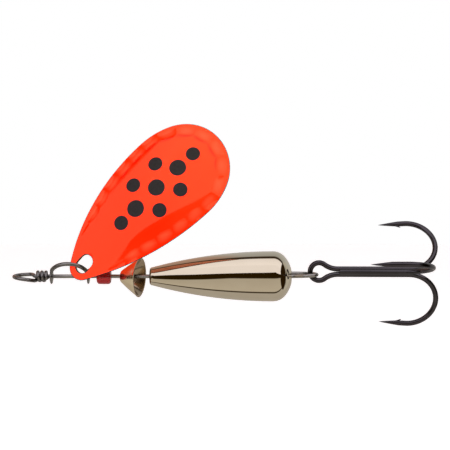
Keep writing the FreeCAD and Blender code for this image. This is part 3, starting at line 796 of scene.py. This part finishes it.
def point_side(foot, direction, arm):
    """Centre line and radii from the bend's start to the needle point, then the arm's end and the
    directions along it and in towards the shank."""
    bend_r, past, point_length = 9.4 / 2, math.radians(4), 3.4
    x = np.array([1.0, 0, 0])
    pts, radii = [], []
    for i in range(51):
        a = (math.pi + past) * i / 50
        pts.append(foot + x * bend_r * math.sin(a) + direction * bend_r * (1 - math.cos(a)))
        radii.append(HOOK_R)
    top = pts[-1]
    aim = -x * math.cos(past) - direction * math.sin(past)
    inner = x * math.sin(past) - direction * math.cos(past)
    for i in range(1, 5):
        pts.append(top + aim * (arm * i / 4))
        radii.append(HOOK_R)
    end = pts[-1]
    for i in range(1, 25):
        t = i / 24
        pts.append(end + aim * (point_length * t))
        radii.append(max(HOOK_R * (1 - t) ** 0.8, 0.02))
    return pts, radii, (end, aim, inner)


def barb_mesh(end, aim, inner):
    """A thin sliver lifted from the inner side of the point, its tip towards the bend."""
    lift, length, radius = math.radians(35), 1.05, 0.2
    rise = inner * math.sin(lift) - aim * math.cos(lift)
    start = end + aim * 0.45 + inner * 0.198
    pts = [start + rise * (length * (i - 2) / 10) for i in range(13)]
    radii = [radius * (1 - max(i - 2, 0) / 10) ** 0.8 + 0.02 for i in range(13)]
    return tube(pts, radii, 12)


def to_hook(part):
    verts, faces = part
    return [tuple(HOOK_TURN @ Vector(v) + PIVOT) for v in verts], faces


def eye_half():
    """From the upper shank's start round to the eye's far left, as (x, z)."""
    radius, centre_x = 1.5, 0.45
    run = SHANK_START - centre_x
    blend = (run**2 + SHANK_Z**2 - radius**2) / (2 * (radius - SHANK_Z))
    join = math.degrees(math.atan2(SHANK_Z + blend, run))
    out = []
    for i in range(20):
        a = math.radians(-90 - (90 - join) * i / 20)
        out.append((SHANK_START + blend * math.cos(a), SHANK_Z + blend + blend * math.sin(a)))
    for i in range(37):
        a = math.radians(join + (180 - join) * i / 36)
        out.append((centre_x + radius * math.cos(a), radius * math.sin(a)))
    return out


def double_mesh():
    """The eye, the two shanks side by side and their bends and points, in one wire."""
    upper_foot = np.array([SHANK_END, 0, SHANK_Z])
    lower_foot = np.array([SHANK_END, 0, -SHANK_Z])
    up_pts, up_r, up_end = point_side(upper_foot, outward(35), 1.1)
    low_pts, low_r, low_end = point_side(lower_foot, outward(156), 1.1)
    eye = [np.array([x, 0, z]) for x, z in eye_half()]
    flip = np.array([1, 1, -1])
    under = [p * flip for p in eye[-2::-1]]
    shank = [np.array([x, 0, SHANK_Z]) for x in np.linspace(SHANK_END, SHANK_START, 40)[1:-1]]
    back = [p * flip for p in shank[::-1]]
    pts = up_pts[::-1] + shank + eye + under + back + low_pts
    radii = up_r[::-1] + [HOOK_R] * (len(shank) + len(eye) + len(under) + len(back)) + low_r
    return merge(tube(pts, radii, 28), barb_mesh(*up_end), barb_mesh(*low_end))


def single_mesh():
    """The third hook, its cut end rounded over."""
    foot = np.array([SINGLE_END, SINGLE_Y, 0])
    pts, radii, end = point_side(foot, outward(280), 2.0)
    start = [np.array([x, SINGLE_Y, 0]) for x in np.linspace(SINGLE_START, SINGLE_END, 40)[:-1]]
    blunt = [start[0] - np.array([d, 0, 0]) for d in (0.12, 0.09, 0.04)]
    lead = [HOOK_R * f for f in (0.62, 0.86, 0.97)]
    wire = tube(blunt + start + pts, lead + [HOOK_R] * len(start) + radii, 28)
    return merge(wire, barb_mesh(*end))


def braze_mesh():
    """Solder drawn into the grooves between the shanks, with a rippled surface and rounded ends."""
    start, length, groove_y = 4.3, 10.4, -0.268
    pts, radii = [], []
    for i in range(61):
        t = i / 60
        x = start + length * t
        pts.append((x, groove_y, 0))
        ends = min(t, 1 - t) / 0.06
        ripple = 0.012 * math.sin(9 * x) + 0.008 * math.sin(23 * x + 1)
        radii.append((0.5 + ripple) * min(1, math.sqrt(max(ends, 0.02))))
    return tube(pts, radii, 24)


verts, faces = to_hook(double_mesh())
to_object("hook_double_forged", verts, faces, "hook", HOOK, "hook_double", 50)
verts, faces = to_hook(single_mesh())
to_object("hook_single_forged", verts, faces, "hook", HOOK, "hook_single", 50)
verts, faces = to_hook(braze_mesh())
to_object("hook_braze_fillet", verts, faces, "hook", BRAZE, "hook_braze", 50)


# --- studio -----------------------------------------------------------------------------

# tints of the surroundings
TOP = (0.95, 0.90, 0.946)
LOW = (1.32, 1.20, 1.03)
PLAIN = (1.0, 1.0, 1.0)
GAP = (1.0, 0.5, 0.023)
SEAM = (1.0, 0.62, 0.3)
SIDE = (1.04, 0.97, 0.88)
WARM = (1.0, 0.66, 0.54, 1)
DARK_END = (0.022, 0.011, 0.002, 1)
PALE_END = (0.5, 0.48, 0.44, 1)

SMOOTH = "SMOOTHSTEP"

# what a mirror sees, by angle about X from the camera side upwards: degrees, brightness, tint
SURROUND = [
    (-180, 0.42, SIDE),
    (-84, 0.44, SIDE),
    (-81, 0.04, SEAM),
    (-76, 0.04, SEAM),
    (-72, 0.42, LOW),
    (-9, 0.37, LOW),
    (-6, 0.022, GAP),
    (32, 0.022, GAP),
    (36, 1.03, TOP),
    (60, 1.10, TOP),
    (90, 1.00, TOP),
    (94, 0.04, SEAM),
    (105, 0.04, SEAM),
    (110, 0.40, PLAIN),
    (160, 0.52, PLAIN),
    (180, 0.50, SIDE),
]


def ramp(n, position, stops):
    made = n.node("ShaderNodeValToRGB")
    elements = made.color_ramp.elements
    while len(elements) > 1:
        elements.remove(elements[-1])
    for index, (degrees, level, tint) in enumerate(stops):
        at = (degrees + 180) / 360
        element = elements[0] if index == 0 else elements.new(at)
        element.position = at
        element.color = (*(level * c for c in tint), 1)
    n.feed(made, 0, position)
    return made.outputs[0]


def surroundings(n):
    """A white studio as mirrors see it: a bright upper panel, a dimmer warm lower panel, a dark gap
    where the camera stands, and dark ends. x, y and z are the way the reflection looks."""
    x, y, z = n.split(n.node("ShaderNodeTexCoord").outputs["Generated"])
    angle = n.math("ARCTAN2", z, n.math("MULTIPLY", y, -1.0))
    # the gap's lower edge dips towards the line tie
    dip = n.math("MULTIPLY", n.math("MAXIMUM", n.math("SUBTRACT", -0.18, x), 0.0), 1.13)
    above = n.spread(angle, -1.3, -0.7, 0, 1, SMOOTH)
    in_front = n.math("LESS_THAN", y, 0)
    angle = n.math("ADD", angle, n.math("MULTIPLY", dip, n.math("MULTIPLY", above, in_front)))
    around = ramp(n, n.math("MULTIPLY_ADD", angle, 1 / (2 * math.pi), 0.5), SURROUND)
    # the back is warmer towards the blade
    behind = n.math("GREATER_THAN", angle, 1.85)
    warm = n.math("MULTIPLY", behind, n.spread(x, -0.16, -0.03, 1, 0, SMOOTH))
    around = n.mix(warm, around, WARM, "MULTIPLY")
    # the ends: the hook's starts nearer the middle, and the line tie's turns pale sooner
    off_axis = n.math("MULTIPLY_ADD", n.math("GREATER_THAN", x, 0.0), 0.10, n.math("ABSOLUTE", x))
    past_end = n.spread(off_axis, 0.84, 0.88, 0, 1, SMOOTH)
    back = n.math("MULTIPLY_ADD", n.math("LESS_THAN", x, 0.0), 0.22, y)
    end = n.mix(n.spread(back, 0.12, 0.20, 0, 1, SMOOTH), DARK_END, PALE_END)
    return n.mix(past_end, around, end)


def studio_world():
    """Reflections see the surroundings and the camera sees plain white."""
    world = bpy.data.worlds.new("studio")
    bpy.context.scene.world = world
    world.use_nodes = True
    n = Tree(world.node_tree)
    reflected = n.node("ShaderNodeBackground")
    n.feed(reflected, 0, surroundings(n))
    seen = n.node("ShaderNodeBackground")
    n.feed(seen, 0, (1, 1, 1, 1))
    pick = n.node("ShaderNodeMixShader")
    n.feed(pick, 0, n.node("ShaderNodeLightPath").outputs["Is Camera Ray"])
    n.feed(pick, 1, reflected.outputs[0])
    n.feed(pick, 2, seen.outputs[0])
    n.feed(n.node("ShaderNodeOutputWorld"), 0, pick.outputs[0])


studio_world()


def traced(n):
    """At a card: the point hit, the point the reflected ray left from, and the way back to it."""
    here = n.node("ShaderNodeNewGeometry")
    start = n.node("ShaderNodeVectorMath", operation="MULTIPLY_ADD")
    n.link(here.outputs["Incoming"], start.inputs[0])
    n.link(n.node("ShaderNodeLightPath").outputs["Ray Length"], start.inputs[1])
    n.link(here.outputs["Position"], start.inputs[2])
    vectors = (here.outputs["Position"], start.outputs[0], here.outputs["Incoming"])
    return [n.split(vector) for vector in vectors]


def studio_piece(name, verts, faces, n, hidden):
    """A piece of the studio, in millimetres, hidden from the kinds of ray named."""
    mesh = bpy.data.meshes.new(name)
    mesh.from_pydata([tuple(MM * c for c in v) for v in verts], [], faces)
    mesh.materials.append(n.material)
    piece = bpy.data.objects.new(name, mesh)
    bpy.context.scene.collection.objects.link(piece)
    for kind in hidden:
        setattr(piece, "visible_" + kind, False)


REFLECTED_ONLY = ("camera", "diffuse", "shadow", "transmission", "volume_scatter")


def softbox_card():
    """A bright card between the lure and the camera, seen only in reflections. Its lower edge is
    the upper limit of the dark gap, and it stands near enough to lie lower on the high blade. The
    low middle of the weight doesn't see its low left corner."""
    edge = [(-220, -12), (-24, -12), (-16, -6), (-12, 6), (-9, 14), (-4, 18), (2, 20.5)]
    edge += [(10, 22.3), (20, 24.3), (30, 26), (40, 26.8), (48, 29), (60, 30), (75, 26)]
    edge += [(90, 22), (145, 20)]
    y, top = -80, 110
    verts = [(x, y, z) for x, z in edge] + [(x, y, top) for x, z in edge]
    count = len(edge)
    faces = [(i, i + 1, count + i + 1, count + i) for i in range(count - 1)]
    n = Nodes("lit_card")
    hit, start, _ = traced(n)
    above_corner = n.spread(hit[2], 18.5 * MM, 20 * MM, 0, 1)
    on_weight = n.math("GREATER_THAN", start[0], 20.5 * MM)
    missed = n.math("MULTIPLY", on_weight, n.math("LESS_THAN", start[2], 1.2 * MM))
    n.set(
        Base_Color=(0, 0, 0, 1),
        Specular_IOR_Level=0.0,
        Emission_Color=(*TOP, 1),
        Emission_Strength=1.03,
        Alpha=n.math("MAXIMUM", above_corner, n.math("SUBTRACT", 1.0, missed)),
    )
    studio_piece("softbox_card", verts, faces, n, REFLECTED_ONLY)


softbox_card()


def blade_glow():
    """The light the enamel throws on the cup: an orange card behind the lure, seen only in the
    cup's own reflections that travel towards the line tie."""
    verts = [(-60, 15, -0.5), (14.5, 15, -0.5), (14.5, 15, 22), (-60, 15, 22)]
    n = Nodes("orange_glow")
    _, start, back = traced(n)
    behind_nose = n.spread(start[0], 15.6 * MM, 16 * MM, 0, 1)
    on_cup = n.math("MULTIPLY", behind_nose, n.math("LESS_THAN", start[0], 20.3 * MM))
    n.set(
        Base_Color=(0, 0, 0, 1),
        Specular_IOR_Level=0.0,
        Emission_Color=(1.0, 0.06, 0.012, 1),
        Emission_Strength=0.8,
        Alpha=n.math("MULTIPLY", on_cup, n.spread(back[0], 0.2, 0.35, 0, 1)),
    )
    studio_piece("blade_glow", verts, [(0, 1, 2, 3)], n, REFLECTED_ONLY)


blade_glow()


def soft_light(name, where, size, watts):
    """A soft area light aimed at the middle of the lure, kept out of mirror reflections."""
    data = bpy.data.lights.new(name, "AREA")
    data.energy = watts
    data.size = size
    lamp = bpy.data.objects.new(name, data)
    target = Vector((0.034, 0, 0.009))
    lamp.location = where
    lamp.rotation_euler = (target - Vector(where)).to_track_quat("-Z", "Y").to_euler()
    lamp.visible_glossy = False
    bpy.context.scene.collection.objects.link(lamp)


soft_light("key", (-0.02, -0.30, 0.30), 0.30, 1.1)
soft_light("fill", (0.16, -0.30, -0.02), 0.30, 0.35)


def floor():
    """A pale floor well below the lure."""
    half, z = 3000, -50
    verts = [(-half, -half, z), (half, -half, z), (half, half, z), (-half, half, z)]
    n = Nodes("pale_floor")
    n.set(
        Base_Color=(0.9, 0.9, 0.9, 1),
        Roughness=0.9,
        Emission_Color=(1, 1, 1, 1),
        Emission_Strength=0.55,
    )
    studio_piece("floor", verts, [(0, 1, 2, 3)], n, ("glossy",))


floor()


def viewer():
    """The camera looks square on at the lure from close by."""
    distance, width = 0.180, 0.0765
    data = bpy.data.cameras.new("camera")
    data.sensor_width = 36
    data.lens = 36 * distance / width
    data.clip_start = 0.01
    camera = bpy.data.objects.new("camera", data)
    camera.location = (0.0340, -distance, 0.00872)
    camera.rotation_euler = (math.radians(90), 0, 0)
    bpy.context.scene.collection.objects.link(camera)
    bpy.context.scene.camera = camera


viewer()
bpy.context.scene.view_settings.view_transform = "Standard"
